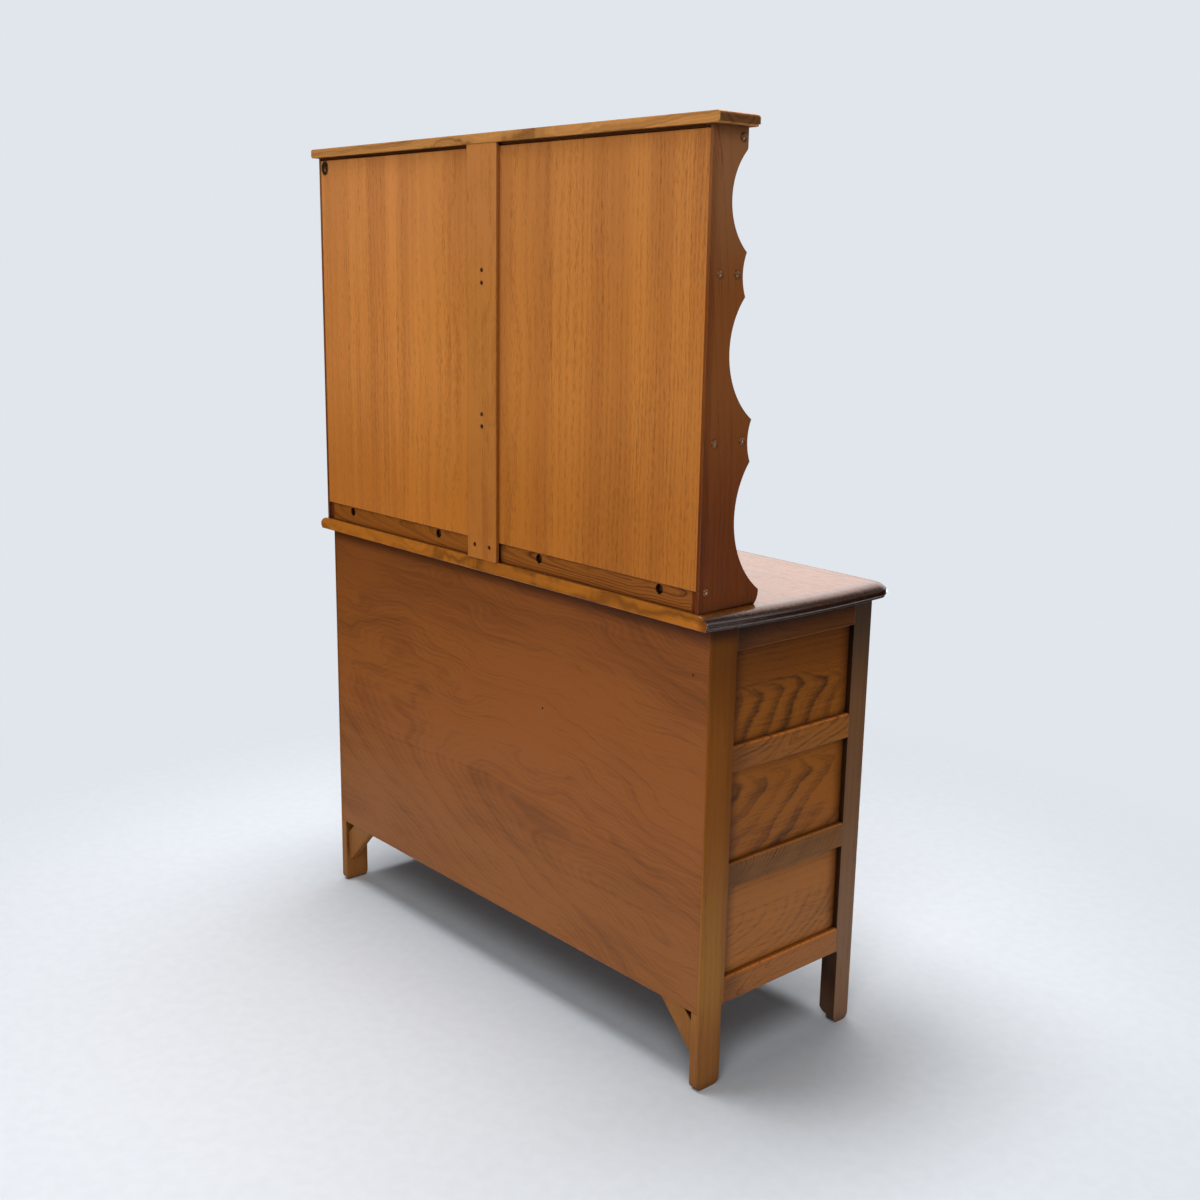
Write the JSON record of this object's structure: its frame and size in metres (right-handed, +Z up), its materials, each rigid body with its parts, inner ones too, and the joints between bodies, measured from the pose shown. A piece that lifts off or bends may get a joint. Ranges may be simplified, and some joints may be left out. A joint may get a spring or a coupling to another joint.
{
  "type": "dresser with hutch",
  "caption": "Dresser with a panelled base of drawers between two cupboards, and a shallow open plate rack with scalloped sides above it.",
  "frame": {"origin": "on the floor, in the middle of the overall width and depth", "axes": "+X to the right seen from the front, +Y towards the back, +Z up"},
  "size_m": [1.193, 0.4696, 1.578],
  "materials": {
    "frame_wood": "waxed brown",
    "panel_wood": "figured veneer",
    "worktop_wood": "polished brown",
    "front_wood": "waxed brown",
    "knob_wood": "turned and polished",
    "base_back_ply": "plain ply",
    "hutch_back_ply": "golden veneer",
    "hutch_wood": "waxed brown",
    "peg_wood": "domed and polished",
    "inner_wood": "unpolished",
    "brass": "dulled",
    "steel": "blued"
  },
  "bodies": {
    "case": {"back_panel": "base_back_ply", "carcass_bottom": "inner_wood", "cupboard_shelves": "inner_wood", "door_stops": "inner_wood", "drawer_rails": "frame_wood", "drawer_runners": "inner_wood", "frame_hinges": "brass", "front_bottom_rail": "frame_wood", "front_muntins": "frame_wood", "front_posts": "frame_wood", "front_top_rail": "frame_wood", "hanging_plate": "brass", "hutch_back_panels": "hutch_back_ply", "hutch_bottom_rail": "hutch_wood", "hutch_centre_post": "hutch_wood", "hutch_pegs": "peg_wood", "hutch_screws": "steel", "hutch_top": "worktop_wood", "hutch_top_rail": "hutch_wood", "hutch_valance": "hutch_wood", "left_front_leg": "frame_wood", "left_hutch_side": "hutch_wood", "left_rear_leg": "frame_wood", "left_side_rails": "frame_wood", "lower_plate_shelf": "hutch_wood", "partitions": "inner_wood", "rear_brackets": "frame_wood", "rear_rails": "inner_wood", "right_front_leg": "frame_wood", "right_hutch_side": "hutch_wood", "right_rear_leg": "frame_wood", "right_side_rails": "frame_wood", "shelf_battens": "inner_wood", "shelf_rails": "hutch_wood", "side_panels": "panel_wood", "upper_plate_shelf": "hutch_wood", "worktop": "worktop_wood", "worktop_buttons": "inner_wood"},
    "lower_drawer": {"lower_drawer_front": "front_wood", "lower_drawer_box": "inner_wood", "lower_drawer_bottom": "inner_wood", "lower_drawer_knobs": "knob_wood"},
    "middle_drawer": {"middle_drawer_front": "front_wood", "middle_drawer_box": "inner_wood", "middle_drawer_bottom": "inner_wood", "middle_drawer_knobs": "knob_wood"},
    "upper_drawer": {"upper_drawer_front": "front_wood", "upper_drawer_box": "inner_wood", "upper_drawer_bottom": "inner_wood", "upper_drawer_knobs": "knob_wood"},
    "left_door": {"left_door_stiles": "front_wood", "left_door_rails": "front_wood", "left_door_panel": "panel_wood", "left_door_knob": "knob_wood", "left_door_hinge_leaves": "brass"},
    "right_door": {"right_door_stiles": "front_wood", "right_door_rails": "front_wood", "right_door_panel": "panel_wood", "right_door_knob": "knob_wood", "right_door_hinge_leaves": "brass"}
  },
  "joints": [
    {"name": "lower_drawer_slide", "type": "slide", "parent": "case", "child": "lower_drawer", "axis": [0, -1, 0], "range_m": [0, 0.26]},
    {"name": "middle_drawer_slide", "type": "slide", "parent": "case", "child": "middle_drawer", "axis": [0, -1, 0], "range_m": [0, 0.26]},
    {"name": "upper_drawer_slide", "type": "slide", "parent": "case", "child": "upper_drawer", "axis": [0, -1, 0], "range_m": [0, 0.26]},
    {"name": "left_door_hinge", "type": "hinge", "parent": "case", "child": "left_door", "pos_m": [-0.5305, -0.19455, 0.47775], "axis": [0, 0, -1], "range_deg": [0, 170]},
    {"name": "right_door_hinge", "type": "hinge", "parent": "case", "child": "right_door", "pos_m": [0.5305, -0.19455, 0.47775], "axis": [0, 0, 1], "range_deg": [0, 170]}
  ]
}
